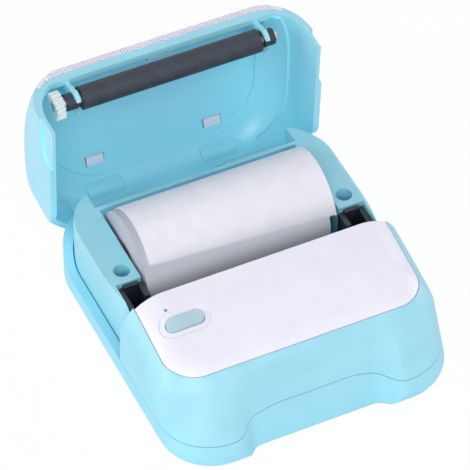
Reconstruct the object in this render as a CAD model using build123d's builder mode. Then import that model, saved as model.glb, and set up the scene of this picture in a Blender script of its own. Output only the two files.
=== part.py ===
"""Portable thermal printer for 57 mm paper, with its cover open. Millimetres, +Z up, front at -Y."""

import os
from math import acos, atan2, cos, degrees, hypot, pi, radians, sin

from build123d import *

os.makedirs("parts", exist_ok=True)

# Middle of the open printer, front to back: the origin of the row frame lies under it
frame_y = 10.24

# Width of the paper, which sets the bin, the roller, and with the gear train beside them the housing
paper_w = 57.5
paper_room = 2.25
gear_room = 12.5
bin_half = paper_w / 2 + paper_room

# Housing, outside
body_half = bin_half + gear_room
paw_front_y = -53.0
rear_y = 47.5
front_corner = 14.0
paw_corner = 16.5
rear_corner = 20.0
base_z = 0.8
form_top_z = 36.0
front_lean = 21.2
crown_edge = 13.0
base_edge = 4.0
wall = 2.0
floor_t = 1.5
tub_wall = 2.8
seam_gap = 0.2

# Hollow between the two front paws
brow_half = body_half - 26.5
paw_inner_half = body_half - 16.5
brow_depth = 7.9
brow_top_z = 26.0

# Parting line between the shells
seam_side_z = 9.7
seam_rear_z = 15.8
seam_paw_z = 9.0
seam_brow_z = 11.8
seam_dip_from_y = -30.0
seam_dip_to_y = -42.0

# Front panel
panel_half = body_half - 4.5
panel_rear_y = -8.5
panel_front_y = -36.0
panel_top_z = 32.9
panel_nose_z = 26.6
panel_corner = 9.5
panel_t = 1.8
under_panel_t = 1.5
panel_gap = 0.15

# Deck behind the panel, its wells and pockets
deck_z = 25.9
deck_half = body_half - 3.0
deck_rear_y = 42.4
deck_corner = 15.0
deck_edge = 1.6
deck_gap = 0.5
skirt_z = 2.5
boss_z = 6.0
boss_r = 3.0
recess_y = -7.9
bulkhead_t = 2.5
well_r = 2.4
well_floor_z = 12.0
front_well_x = bin_half + 3.9
front_well_y = 9.6
rear_well_x = 22.3
rear_well_y = 38.5
rear_ledge_z = 18.7
rear_ledge_half = bin_half + 0.8
pocket_inner_x = bin_half - 1.1
pocket_outer_x = body_half - 4.7
pocket_rear_y = 5.1

# Paper roll and its bin
roll_r = 15.0
core_r = 6.5
core_wall = 1.5
roll_x = -1.2
roll_y = 17.8
roll_z = 19.4
bin_gap = 0.8
bin_wall = 1.3
roll_fit = 0.05
bin_front_z = 13.0
tail_x = 1.0
tail_t = 0.25
tail_start = 32.0
tail_end_left = 142.5
tail_end_right = 157.0
torn_depth = 0.5

# Hinge
hinge_y = 39.66
hinge_z = 7.93
open_angle = 88.0
pin_r = 1.25
pin_fit = 0.05
pin_half = 18.0
knuckle_r = 3.6
knuckle_half = 11.9
hinge_bay_half = 12.4
roll_back_r = 8.7
tongue_y = 41.2
tongue_top_z = 20.0

# Cover, as it stands when closed
cover_half = body_half - 0.7
cover_front_y = -7.4
cover_rear_y = 46.8
cover_corner = 19.3
cover_front_top_z = 32.4
cover_crown_z = 39.4
cover_crown_y = 18.0
cover_rear_top_z = 30.8
cover_wall = 1.9
plate_t = 1.6
plate_half = body_half - 4.9
plate_rear_y = 39.0
plate_corner = 10.0
rim_z = 10.1
rim_rear_z = 17.2
rim_rise_from_y = 25.0
rim_rise_to_y = 41.0
lip_t = 2.2
lip_depth = 4.4
tear_half = bin_half + 4.0
tear_t = 1.1
tear_depth = 0.6
tear_pitch = 0.8
tooth_depth = 0.5
grip_end_y = 7.8
grip_top_z = 17.2
grip_depth = 0.9

# Swellings and thicker band on the inside of the cover's rear wall
barrel_y = 45.2
barrel_z = 28.6
barrel_r = 4.3
barrel_x = 24.0
barrel_end_r = 3.2
barrel_end_x = 29.4
band_t = 0.8
band_half = bin_half - 0.2
band_z = 26.4
crease_half = body_half - 10.0
crease_rear_y = 40.5
crease_corner = 17.0

# Snap tabs of the top plate, in slots of the cover frame
rear_tab_x = 19.0
rear_tab_y = 36.0
front_tab_y = -1.0
front_tab_x = 1.4
front_tab_w = 7.6
rear_tab_w = 5.4
tab_l = 2.6
tab_stand = 0.5
slot_gap = 0.3

# Platen roller, closed place of its axis
platen_y = -4.2
platen_z = 22.5
platen_r = 3.5
rubber_half = bin_half - 3.0
shaft_r = 1.5
shaft_end = rubber_half + 5.6
bush_r = 2.5
bush_x0 = rubber_half + 1.2
bush_x1 = rubber_half + 4.6
bush_fit = 0.05
arm_x0 = rubber_half + 1.0
arm_x1 = rubber_half + 2.3
arm_r = 4.0

# Gear train on the left
module = 0.5
gear_x0 = -rubber_half - 8.4
gear_w = 2.6
platen_teeth = 15
idler_b_teeth = 18
idler_a_teeth = 20
pinion_teeth = 10
mesh_gap = 0.06
idler_b_dir = -128.0
motor_y = -25.0
motor_z = 12.5
motor_r = 7.0
motor_l = 14.0
axle_r = 0.75
bore_fit = 0.05
gear_plate_t = 0.8
axle_head_r = 1.2

# Print head and its frame
head_half = rubber_half + 0.6
head_t = 1.0
head_fit = 0.06
sink_t = 1.6
head_z0 = 15.0
head_z1 = 28.6
bead_t = 0.15
bead_w = 1.2
head_pivot_z = 14.2
head_pivot_r = 0.8
frame_base_t = 1.6
frame_bar_top_z = 24.5
frame_cheek_top_z = 24.3
frame_front_y = -14.6
cheek_inner_x = bin_half - 0.3
cheek_t = 1.6
outer_cheek_x = body_half - 6.6
outer_cheek_t = 1.5
filler_y = -3.0
filler_top_z = 14.0
lining_t = 1.3
lining_top_z = 25.4
frame_gap = 0.3
frame_bar_t = 1.6
spring_r = 1.7
spring_x = 14.0
spring_wire = 0.4
spring_turns = 4

# Electronics, button and feet
pcb_z = 21.6
pcb_t = 1.2
battery_l = 40.0
battery_w = 19.0
battery_h = 10.0
battery_x0 = -5.0
battery_y = -26.0
usb_y = -20.0
usb_z = 14.3
usb_board_half = 6.0
usb_w = 9.0
usb_h = 3.2
button_x = -body_half + 14.8
button_y = -19.2
button_l = 11.4
button_w = 4.3
button_gap = 0.15
button_travel = 0.6
button_flange = 0.9
button_flange_t = 1.0
button_proud = 0.25
dish_grow = 1.9
dish_depth = 0.3
switch_w = 4.5
switch_h = 1.7
led_x = -body_half + 11.3
led_y = -14.2
led_r = 0.5
foot_r = 4.0
foot_x = body_half - 13.5
foot_front_y = -33.0
foot_rear_y = 31.0
screw_r = 1.9
screw_head_t = 1.4
screw_shank_r = 1.0




def rounded_plan(half, front, rear, r_front, r_rear):
    """Outline seen from above, with its own corner radius at each end."""
    with BuildSketch(mode=Mode.PRIVATE) as plan:
        with Locations((0, (front + rear) / 2)):
            Rectangle(2 * half, rear - front)
        if r_rear > 0:
            fillet(plan.vertices().group_by(Axis.Y)[-1], r_rear)
        if r_front > 0:
            fillet(plan.vertices().group_by(Axis.Y)[0], r_front)
    return plan.sketch


def below_curve(curve, low_z):
    """Prism along X of the region under a curve in the YZ plane."""
    with BuildPart(mode=Mode.PRIVATE) as prism:
        with BuildSketch(Plane.YZ):
            with BuildLine():
                add(curve)
                first, last = curve @ 0, curve @ 1
                Polyline((last.X, last.Y), (last.X, low_z), (first.X, low_z), (first.X, first.Y))
            make_face()
        extrude(amount=2 * body_half, both=True)
    return prism.part


def block(x0, x1, y0, y1, z0, z1):
    """Plain block between two corners."""
    with BuildPart(mode=Mode.PRIVATE) as solid:
        with Locations(((x0 + x1) / 2, (y0 + y1) / 2, (z0 + z1) / 2)):
            Box(abs(x1 - x0), abs(y1 - y0), abs(z1 - z0))
    return solid.part


def rod(x0, x1, y, z, r):
    """Cylinder along X."""
    with BuildPart(mode=Mode.PRIVATE) as solid:
        with BuildSketch(Plane.YZ.offset(x0)):
            with Locations((y, z)):
                Circle(r)
        extrude(amount=x1 - x0)
    return solid.part


def post(x, y, z0, z1, r):
    """Cylinder along Z."""
    with BuildPart(mode=Mode.PRIVATE) as solid:
        with BuildSketch(Plane.XY.offset(z0)):
            with Locations((x, y)):
                Circle(r)
        extrude(amount=z1 - z0)
    return solid.part


def crowned_form(low_plan, high_plan, z_low, z_high, crown, edge, open_front):
    """Body with leaning sides under a crowned top, its upper rim rounded."""
    with BuildPart(mode=Mode.PRIVATE) as form:
        with BuildSketch(Plane.XY.offset(z_low)):
            add(low_plan)
        with BuildSketch(Plane.XY.offset(z_high)):
            add(high_plan)
        loft(ruled=True)
        with BuildSketch(Plane.YZ):
            with BuildLine():
                top = ThreePointArc(*crown)
                rear, front = top @ 0, top @ 1
                Polyline((front.X, front.Y), (front.X, z_low - 1), (rear.X, z_low - 1), (rear.X, rear.Y))
            make_face()
        extrude(amount=2 * body_half, both=True, mode=Mode.INTERSECT)
        rim = form.faces().sort_by(Axis.Z)[-1].edges().sort_by(Axis.Y)
        fillet(rim[1:] if open_front else rim, edge)
    return form.part


def lowered(solid, drop):
    """Copy of a solid, moved straight down."""
    return solid.moved(Location((0, 0, -drop)))


def body_form(inset, top_inset):
    """Outer form of the housing, or the hollow that lies a wall inside it."""
    half = body_half - inset
    front = paw_front_y + 1.8 * inset
    rear = rear_y - inset
    low = rounded_plan(half, front, rear, paw_corner - inset, rear_corner - inset)
    high = rounded_plan(half, front + front_lean, rear, front_corner - inset, rear_corner - inset)
    crown = (
        (rear_y + 12.5, panel_top_z - 1.9 - top_inset),
        (panel_rear_y + 8.5, panel_top_z + 1.1 - top_inset),
        (panel_front_y - 25.4, panel_top_z - 14.9 - top_inset),
    )
    return crowned_form(low, high, base_z, form_top_z, crown, crown_edge - inset, False)


def cover_form(inset, top_inset, front):
    """Outer form of the closed cover, or the hollow inside it."""
    plan = rounded_plan(cover_half - inset, front, cover_rear_y - inset, 0, cover_corner - inset)
    crown = (
        (cover_rear_y + 1, cover_rear_top_z - top_inset),
        (cover_crown_y, cover_crown_z - top_inset),
        (cover_front_y - 1, cover_front_top_z - 0.2 - top_inset),
    )
    return crowned_form(plan, plan, base_z, cover_crown_z + 3, crown, crown_edge - inset, True)


def slope_below(y0, z0, y1, z1):
    """Everything under a level that steps smoothly from one height to another."""
    with BuildLine(mode=Mode.PRIVATE) as line:
        Line((2 * paw_front_y, z0), (y0, z0))
        Spline((y0, z0), (y1, z1), tangents=[(1, 0), (1, 0)])
        Line((y1, z1), (2 * rear_y, z1))
    return below_curve(line.line, base_z - 5)


def seam_below(lift):
    """Everything under the wavy parting line of the front half."""
    low = seam_paw_z + lift
    top = seam_brow_z + lift
    flat = brow_half * 0.6
    with BuildPart(mode=Mode.PRIVATE) as region:
        add(slope_below(seam_dip_to_y, low, seam_dip_from_y, seam_side_z + lift))
        with BuildSketch(Plane.XZ.offset(-seam_dip_from_y)):
            with BuildLine():
                Polyline(
                    (-paw_inner_half, low), (-paw_inner_half, -5), (paw_inner_half, -5), (paw_inner_half, low)
                )
                Spline((paw_inner_half, low), (flat, top), tangents=[(-1, 0), (-1, 0)])
                Line((flat, top), (-flat, top))
                Spline((-flat, top), (-paw_inner_half, low), tangents=[(-1, 0), (-1, 0)])
            make_face()
        extrude(amount=-paw_front_y)
    return region.part


def brow_section(z, depth):
    """Outline of the hollow between the paws at one height."""
    face_y = paw_front_y + front_lean * (z - base_z) / (form_top_z - base_z) - 0.05
    with BuildSketch(Plane.XY.offset(z), mode=Mode.PRIVATE) as section:
        with BuildLine():
            Spline((-paw_inner_half, face_y), (-brow_half, face_y + depth), tangents=[(1, 0), (1, 0)])
            Line((-brow_half, face_y + depth), (brow_half, face_y + depth))
            Spline((brow_half, face_y + depth), (paw_inner_half, face_y), tangents=[(1, 0), (1, 0)])
            Polyline(
                (paw_inner_half, face_y),
                (paw_inner_half, 2 * paw_front_y),
                (-paw_inner_half, 2 * paw_front_y),
                (-paw_inner_half, face_y),
            )
        make_face()
    return section.sketch


def pill(z0, z1, grow):
    """Rounded prism of the button, or of the hole round it."""
    with BuildPart(mode=Mode.PRIVATE) as solid:
        with BuildSketch(Plane.XY.offset(z0)):
            with Locations((button_x, button_y)):
                SlotOverall(button_l + 2 * grow, button_w + 2 * grow)
        extrude(amount=z1 - z0)
    return solid.part


def prism(sketch, z0, z1):
    """Upright prism over an outline."""
    with BuildPart(mode=Mode.PRIVATE) as solid:
        with BuildSketch(Plane.XY.offset(z0)):
            add(sketch)
        extrude(amount=z1 - z0)
    return solid.part


def plate_yz(points, x0, x1):
    """Flat plate across X with a straight-sided outline."""
    with BuildPart(mode=Mode.PRIVATE) as solid:
        with BuildSketch(Plane.YZ.offset(x0)):
            Polygon(*points, align=None)
        extrude(amount=x1 - x0)
    return solid.part


# Places that follow from the dimensions
row_place = Location((0, -frame_y, 0))
open_place = (
    Location((0, hinge_y - frame_y, hinge_z))
    * Location((0, 0, 0), (-open_angle, 0, 0))
    * Location((0, -hinge_y, -hinge_z))
)
bin_r = roll_r + bin_gap
bin_z = roll_z + bin_gap - roll_fit
bay_rear_y = roll_y - bin_r - bin_wall
hinge_bay_y = roll_y + bin_r + bin_wall
bay_front_y = recess_y - bulkhead_t - 0.6
floor_z = base_z + floor_t
wells = [
    (side * x, y)
    for side in (-1, 1)
    for x, y in ((front_well_x, front_well_y), (rear_well_x, rear_well_y))
]

body_outer = body_form(0, 0)
body_inner = body_form(wall, panel_t + under_panel_t)
cover_outer = cover_form(0, 0, cover_front_y)
front_half = block(-body_half, body_half, 2 * paw_front_y, recess_y, base_z - 1, form_top_z)
panel_outline = rounded_plan(panel_half, panel_front_y, panel_rear_y, panel_corner, 0)
behind_hinge = block(-body_half, body_half, hinge_y, 2 * rear_y, base_z - 1, form_top_z)

with BuildPart() as brow:
    add(brow_section(base_z - 1, brow_depth))
    add(brow_section(brow_top_z, 0.03))
    loft(ruled=True)

with BuildPart() as housing:
    add(body_outer)
    fillet(housing.faces().sort_by(Axis.Z)[0].edges(), base_edge)
    add(brow.part, mode=Mode.SUBTRACT)
    add(behind_hinge - rod(-body_half, body_half, hinge_y, hinge_z, roll_back_r), mode=Mode.SUBTRACT)

# Lower shell: a tub whose upper edge follows the parting line, then the rim of the cover
with BuildPart() as lower_shell:
    add(housing.part)
    add(
        (front_half & seam_below(0))
        + (slope_below(rim_rise_from_y, seam_side_z, rim_rise_to_y, seam_rear_z) - front_half),
        mode=Mode.INTERSECT,
    )
    add(
        prism(
            rounded_plan(
                body_half - tub_wall, paw_front_y + brow_depth + 2 * tub_wall, deck_rear_y + 0.3, 11, deck_corner
            ),
            floor_z,
            form_top_z,
        ),
        mode=Mode.SUBTRACT,
    )
    add(
        block(-hinge_bay_half, hinge_bay_half, hinge_bay_y, 2 * rear_y, floor_z, form_top_z),
        mode=Mode.SUBTRACT,
    )
    for x, y in wells:
        add(post(x, y, floor_z - 0.5, boss_z, boss_r))
    for x, y in wells:
        add(post(x, y, floor_z, boss_z + 1, screw_shank_r + bore_fit), mode=Mode.SUBTRACT)
lower_shell.part.location = row_place * lower_shell.part.location
lower_shell.part.label = "lower_shell"
export_step(lower_shell.part, "parts/lower_shell.step")

# Upper shell: hood under the panel, and the deck with its bin, pockets and wells
with BuildPart() as upper_shell:
    add(housing.part & front_half)
    add(seam_below(seam_gap), mode=Mode.SUBTRACT)
    add(
        (
            body_inner
            & block(-body_half, body_half, 2 * paw_front_y, recess_y - bulkhead_t, base_z - 1, form_top_z)
        )
        - brow.part.moved(Location((0, wall, 0))),
        mode=Mode.SUBTRACT,
    )
    add(
        body_inner
        & block(-panel_half + 0.1, panel_half - 0.1, bay_front_y, recess_y + 1, base_z - 1, form_top_z),
        mode=Mode.SUBTRACT,
    )
    add(
        block(
            -panel_half + 0.1, panel_half - 0.1, panel_rear_y - 0.1, recess_y + 1, base_z - 1, form_top_z + 1
        ),
        mode=Mode.SUBTRACT,
    )
    with BuildPart(mode=Mode.PRIVATE) as deck:
        add(
            prism(
                rounded_plan(deck_half, cover_front_y - 0.9, deck_rear_y, 0, deck_corner), skirt_z, deck_z
            )
            & cover_form(cover_wall + deck_gap, plate_t + cover_wall + deck_gap, cover_front_y - 0.9)
        )
        rim = deck.faces().sort_by(Axis.Z)[-1].edges()
        fillet(rim.sort_by(Axis.Y)[1:], deck_edge)
    add(deck.part)
    add(rod(-bin_half, bin_half, roll_y, bin_z, bin_r), mode=Mode.SUBTRACT)
    for y0, y1, z0 in (
        (roll_y - bin_r, roll_y + bin_r, bin_z),
        (bay_front_y, roll_y, bin_front_z),
        (bay_front_y, bay_rear_y, 0),
    ):
        add(block(-bin_half, bin_half, y0, y1, z0, deck_z + 1), mode=Mode.SUBTRACT)
    for side in (-1, 1):
        add(
            block(side * pocket_inner_x, side * pocket_outer_x, bay_front_y, pocket_rear_y, 0, deck_z + 1),
            mode=Mode.SUBTRACT,
        )
    add(
        block(-hinge_bay_half, hinge_bay_half, hinge_bay_y, 2 * rear_y, 0, deck_z + 1), mode=Mode.SUBTRACT
    )
    add(
        block(-rear_ledge_half, rear_ledge_half, hinge_bay_y, 2 * rear_y, rear_ledge_z, deck_z + 1),
        mode=Mode.SUBTRACT,
    )
    add(rod(-pin_half - 0.2, pin_half + 0.2, hinge_y, hinge_z, pin_r + pin_fit), mode=Mode.SUBTRACT)
    for x, y in wells:
        add(post(x, y, well_floor_z, deck_z + 1, well_r), mode=Mode.SUBTRACT)
        add(post(x, y, boss_z - 1, deck_z, screw_shank_r + 0.15), mode=Mode.SUBTRACT)
        add(post(x, y, 0, boss_z, boss_r + 0.2), mode=Mode.SUBTRACT)
    add(
        prism(
            rounded_plan(
                panel_half + panel_gap, panel_front_y - panel_gap, recess_y + 1, panel_corner + panel_gap, 0
            ),
            panel_nose_z - 8,
            form_top_z + 1,
        )
        - lowered(body_outer, panel_t),
        mode=Mode.SUBTRACT,
    )
    add(pill(pcb_z, form_top_z, button_flange + 2 * button_gap), mode=Mode.SUBTRACT)
    add(post(led_x, led_y, pcb_z, form_top_z, led_r + 0.3), mode=Mode.SUBTRACT)
    for x, y in ((-22, -30.0), (27, -29.0), (27, -17.5)):
        add(post(x, y, pcb_z + pcb_t, form_top_z, 1.6) & lowered(body_outer, panel_t + 0.6))
    with BuildSketch(Plane.YZ.offset(body_half - 2 * wall)):
        with Locations((usb_y, usb_z + usb_h / 2)):
            SlotOverall(usb_w + 0.6, usb_h + 0.6)
    extrude(amount=3 * wall, mode=Mode.SUBTRACT)
    add(block(body_half - 5, body_half - wall / 2, usb_y - usb_board_half, usb_y + usb_board_half, usb_z - 2.2, usb_z - 1.0))
upper_shell.part.location = row_place * upper_shell.part.location
upper_shell.part.label = "upper_shell"
export_step(upper_shell.part, "parts/upper_shell.step")

# Front panel with its holes for the button and the lamp
with BuildPart() as front_panel:
    add((body_outer & prism(panel_outline, panel_nose_z - 8, form_top_z)) - lowered(body_outer, panel_t))
    add(pill(pcb_z, form_top_z, dish_grow) - lowered(body_outer, dish_depth), mode=Mode.SUBTRACT)
    add(pill(pcb_z, form_top_z, button_gap), mode=Mode.SUBTRACT)
    add(post(led_x, led_y, pcb_z, form_top_z, led_r), mode=Mode.SUBTRACT)
front_panel.part.location = row_place * front_panel.part.location
front_panel.part.label = "front_panel"
export_step(front_panel.part, "parts/front_panel.step")

# Power button, its switch and the lamp under the panel
with BuildPart() as power_button:
    add(pill(pcb_z, form_top_z, 0) & lowered(body_outer, -button_proud) - lowered(body_outer, panel_t + 0.5))
    add(
        (pill(pcb_z, form_top_z, button_flange) & lowered(body_outer, panel_t))
        - lowered(body_outer, panel_t + button_flange_t)
    )
    add(
        post(button_x, button_y, pcb_z + pcb_t + switch_h + button_travel + 0.05, form_top_z, 1.2)
        & lowered(body_outer, panel_t + 0.5)
    )
power_button.part.location = row_place * power_button.part.location
power_button.part.label = "power_button"
export_step(power_button.part, "parts/power_button.step")

with BuildPart() as tact_switch:
    with Locations((button_x, button_y, pcb_z + pcb_t)):
        Box(switch_w, switch_w, 1.1, align=(Align.CENTER, Align.CENTER, Align.MIN))
        Cylinder(1.0, switch_h, align=(Align.CENTER, Align.CENTER, Align.MIN))
tact_switch.part.location = row_place * tact_switch.part.location
tact_switch.part.label = "tact_switch"
export_step(tact_switch.part, "parts/tact_switch.step")

with BuildPart() as light_pipe:
    add(post(led_x, led_y, pcb_z + pcb_t, form_top_z, led_r - 0.08) & lowered(body_outer, 0.05))
    with Locations((led_x, led_y, pcb_z + pcb_t)):
        Box(1.6, 1.6, 0.8, align=(Align.CENTER, Align.CENTER, Align.MIN))
light_pipe.part.location = row_place * light_pipe.part.location
light_pipe.part.label = "light_pipe"
export_step(light_pipe.part, "parts/light_pipe.step")

with BuildPart() as main_pcb:
    add(block(-33.3, 32, -31.5, frame_front_y - 0.5, pcb_z, pcb_z + pcb_t))
    add(block(-33.3, -31.0, frame_front_y - 1, led_y + 1.1, pcb_z, pcb_z + pcb_t))
    fillet(main_pcb.edges().filter_by(Axis.Z).sort_by(Axis.Y)[:2], 2.5)
main_pcb.part.location = row_place * main_pcb.part.location
main_pcb.part.label = "main_pcb"
export_step(main_pcb.part, "parts/main_pcb.step")

with BuildPart() as battery_pack:
    add(
        block(
            battery_x0,
            battery_x0 + battery_l,
            battery_y - battery_w / 2,
            battery_y + battery_w / 2,
            floor_z,
            floor_z + battery_h,
        )
    )
    fillet(battery_pack.edges().filter_by(Axis.X), 3)
battery_pack.part.location = row_place * battery_pack.part.location
battery_pack.part.label = "battery_pack"
export_step(battery_pack.part, "parts/battery_pack.step")

# Charging socket in the right wall, on its own small board
with BuildPart() as usb_c_socket:
    with BuildSketch(Plane.YZ.offset(body_half - 7.3)):
        with Locations((usb_y, usb_z + usb_h / 2)):
            SlotOverall(usb_w, usb_h)
    extrude(amount=7.1)
    with BuildSketch(Plane.YZ.offset(body_half - 5.2)):
        with Locations((usb_y, usb_z + usb_h / 2)):
            SlotOverall(usb_w - 0.6, usb_h - 0.6)
            Rectangle(usb_w - 2.4, 0.7, mode=Mode.SUBTRACT)
    extrude(amount=6, mode=Mode.SUBTRACT)
usb_c_socket.part.location = row_place * usb_c_socket.part.location
usb_c_socket.part.label = "usb_c_socket"
export_step(usb_c_socket.part, "parts/usb_c_socket.step")

with BuildPart() as usb_board:
    add(block(body_half - 11, body_half - wall - 0.3, usb_y - usb_board_half, usb_y + usb_board_half, usb_z - 1.0, usb_z))
usb_board.part.location = row_place * usb_board.part.location
usb_board.part.label = "usb_board"
export_step(usb_board.part, "parts/usb_board.step")

with BuildPart() as rubber_feet:
    with Locations(
        (foot_x, foot_front_y), (-foot_x, foot_front_y), (foot_x, foot_rear_y), (-foot_x, foot_rear_y)
    ):
        Cylinder(foot_r, base_z, align=(Align.CENTER, Align.CENTER, Align.MIN))
rubber_feet.part.location = row_place * rubber_feet.part.location
rubber_feet.part.label = "rubber_feet"
export_step(rubber_feet.part, "parts/rubber_feet.step")

# Case screws at the bottom of the four wells, with a cross recess
with BuildPart() as case_screws:
    with Locations([(x, y, well_floor_z) for x, y in wells]):
        Cylinder(screw_r, screw_head_t, align=(Align.CENTER, Align.CENTER, Align.MIN))
        Cylinder(screw_shank_r, well_floor_z - floor_z - 0.3, align=(Align.CENTER, Align.CENTER, Align.MAX))
    with Locations([(x, y, well_floor_z + screw_head_t) for x, y in wells]):
        Box(2.4, 0.5, 0.8 * screw_head_t, align=(Align.CENTER, Align.CENTER, Align.MAX), mode=Mode.SUBTRACT)
        Box(0.5, 2.4, 0.8 * screw_head_t, align=(Align.CENTER, Align.CENTER, Align.MAX), mode=Mode.SUBTRACT)
case_screws.part.location = row_place * case_screws.part.location
case_screws.part.label = "case_screws"
export_step(case_screws.part, "parts/case_screws.step")

# Mechanism frame: floor plate, front bar, and a cheek with a bearing slot on each side
head_face_y = platen_y - platen_r - head_fit
sink_rear_y = head_face_y - head_t
sink_front_y = sink_rear_y - sink_t
head_pivot_y = (sink_rear_y + sink_front_y) / 2
swing_y, swing_z = hinge_z - platen_z, platen_y - hinge_y
slot_dir = atan2(-swing_z, -swing_y)
slot_r = bush_r + frame_gap
cheek = (
    (frame_front_y, floor_z + frame_base_t),
    (pocket_rear_y - frame_gap, floor_z + frame_base_t),
    (pocket_rear_y - frame_gap, frame_cheek_top_z),
    (head_face_y + frame_gap, frame_cheek_top_z),
    (sink_front_y - 1, frame_cheek_top_z - 4.5),
    (frame_front_y, frame_cheek_top_z - 4.5),
)
outer_cheek = (
    (head_face_y + frame_gap, floor_z),
    (pocket_rear_y - frame_gap, floor_z),
    (pocket_rear_y - frame_gap, frame_cheek_top_z),
    (head_face_y + frame_gap, frame_cheek_top_z),
)
with BuildPart() as head_frame:
    add(
        block(
            -outer_cheek_x, outer_cheek_x, head_face_y + frame_gap, bay_rear_y - frame_gap,
            floor_z, floor_z + frame_base_t,
        )
    )
    add(
        block(
            -cheek_inner_x - cheek_t, cheek_inner_x + cheek_t, frame_front_y, bay_rear_y - frame_gap,
            floor_z, floor_z + frame_base_t,
        )
    )
    add(
        block(
            -cheek_inner_x, cheek_inner_x, frame_front_y, frame_front_y + frame_bar_t,
            floor_z, frame_bar_top_z,
        )
    )
    for side in (-1, 1):
        add(
            block(
                side * (cheek_inner_x + cheek_t), side * outer_cheek_x, filler_y, pocket_rear_y - frame_gap,
                floor_z, filler_top_z,
            )
        )
head_frame.part.location = row_place * head_frame.part.location
head_frame.part.label = "head_frame"
export_step(head_frame.part, "parts/head_frame.step")

# Side plates: the inner pair carries the bearing slots and the pivots of the print head
with BuildPart() as side_plates:
    for side in (-1, 1):
        x0, x1 = sorted((side * cheek_inner_x, side * (cheek_inner_x + cheek_t)))
        add(plate_yz(cheek, x0, x1))
        with BuildSketch(Plane.YZ.offset(x0 - 0.1)):
            with Locations((platen_y, platen_z)):
                Circle(slot_r)
            with Locations(
                Location((platen_y + 5 * cos(slot_dir), platen_z + 5 * sin(slot_dir)), degrees(slot_dir))
            ):
                Rectangle(10, 2 * slot_r)
        extrude(amount=cheek_t + 0.2, mode=Mode.SUBTRACT)
        x0, x1 = sorted((side * outer_cheek_x, side * (outer_cheek_x + outer_cheek_t)))
        add(plate_yz(outer_cheek, x0, x1))
    add(
        rod(-cheek_inner_x - 1.3, cheek_inner_x + 1.3, head_pivot_y, head_pivot_z, head_pivot_r + bore_fit),
        mode=Mode.SUBTRACT,
    )
side_plates.part.location = row_place * side_plates.part.location
side_plates.part.label = "side_plates"
export_step(side_plates.part, "parts/side_plates.step")

# Upright strips that line the rear of the two pockets
with BuildPart() as pocket_strips:
    for side in (-1, 1):
        add(
            block(
                side * (cheek_inner_x + cheek_t), side * outer_cheek_x,
                pocket_rear_y - frame_gap - lining_t, pocket_rear_y - frame_gap, filler_top_z, lining_top_z,
            )
        )
pocket_strips.part.location = row_place * pocket_strips.part.location
pocket_strips.part.label = "pocket_strips"
export_step(pocket_strips.part, "parts/pocket_strips.step")

with BuildPart() as print_head:
    add(block(-head_half, head_half, sink_rear_y, head_face_y - bead_t, head_z0, head_z1))
    add(
        block(
            -head_half + 1, head_half - 1, sink_rear_y, head_face_y,
            platen_z - bead_w / 2, platen_z + bead_w / 2,
        )
    )
    fillet(print_head.edges().filter_by(Axis.X).sort_by(Axis.Y)[-2:], 0.12)
print_head.part.location = row_place * print_head.part.location
print_head.part.label = "print_head"
export_step(print_head.part, "parts/print_head.step")

with BuildPart() as heat_sink:
    add(block(-head_half, head_half, sink_front_y, sink_rear_y, head_pivot_z, head_z1 - 0.6))
    add(rod(-cheek_inner_x - 1.2, cheek_inner_x + 1.2, head_pivot_y, head_pivot_z, head_pivot_r))
heat_sink.part.location = row_place * heat_sink.part.location
heat_sink.part.label = "heat_sink"
export_step(heat_sink.part, "parts/heat_sink.step")

spring_room = sink_front_y - (frame_front_y + frame_bar_t) - spring_wire
with BuildPart() as head_springs:
    for x in (-spring_x, spring_x):
        start = (x, frame_front_y + frame_bar_t + spring_wire / 2, platen_z - 0.5)
        with BuildLine():
            coil = Helix(spring_room / spring_turns, spring_room, spring_r, center=start, direction=(0, 1, 0))
        with BuildSketch(Plane(origin=coil @ 0, z_dir=coil % 0)):
            Circle(spring_wire / 2)
        sweep(path=coil)
head_springs.part.location = row_place * head_springs.part.location
head_springs.part.label = "head_springs"
export_step(head_springs.part, "parts/head_springs.step")

with BuildPart() as paper_sensor:
    add(block(-3, 3, bay_rear_y - 1.3, bay_rear_y, bin_front_z - 4, bin_front_z - 0.5))
    add(block(-1.4, 1.4, bay_rear_y - 1.6, bay_rear_y - 1, bin_front_z - 3, bin_front_z - 1.5))
paper_sensor.part.location = row_place * paper_sensor.part.location
paper_sensor.part.label = "paper_sensor"
export_step(paper_sensor.part, "parts/paper_sensor.step")

# Stepping motor and gear train
rear_x = gear_x0 + gear_w
plate_x1 = -(cheek_inner_x + cheek_t)
plate_x0 = plate_x1 - gear_plate_t


def pitch_radius(teeth):
    """Radius of the pitch circle."""
    return module * teeth / 2


def meshed_phase(direction, phase, driver_teeth, driven_teeth):
    """Tooth angle of a gear that meshes with its driver, which lies opposite to the direction."""
    return direction + 180 + (180 - (phase - direction) * driver_teeth) / driven_teeth


def spur_gear(y, z, teeth, phase, bore):
    """Spur gear across X with one tooth at the phase angle."""
    pitch = 360 / teeth
    flank = (
        (pitch_radius(teeth) - 1.2 * module, -0.30),
        (pitch_radius(teeth), -0.21),
        (pitch_radius(teeth) + 0.9 * module, -0.10),
        (pitch_radius(teeth) + 0.9 * module, 0.10),
        (pitch_radius(teeth), 0.21),
        (pitch_radius(teeth) - 1.2 * module, 0.30),
    )
    outline = []
    for tooth in range(teeth):
        for radius, offset in flank:
            angle = radians(phase + (tooth + offset) * pitch)
            outline.append((y + radius * cos(angle), z + radius * sin(angle)))
    with BuildPart(mode=Mode.PRIVATE) as gear:
        with BuildSketch(Plane.YZ.offset(gear_x0)):
            Polygon(*outline, align=None)
            with Locations((y, z)):
                Circle(bore, mode=Mode.SUBTRACT)
        extrude(amount=gear_w)
    return gear.part


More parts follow.
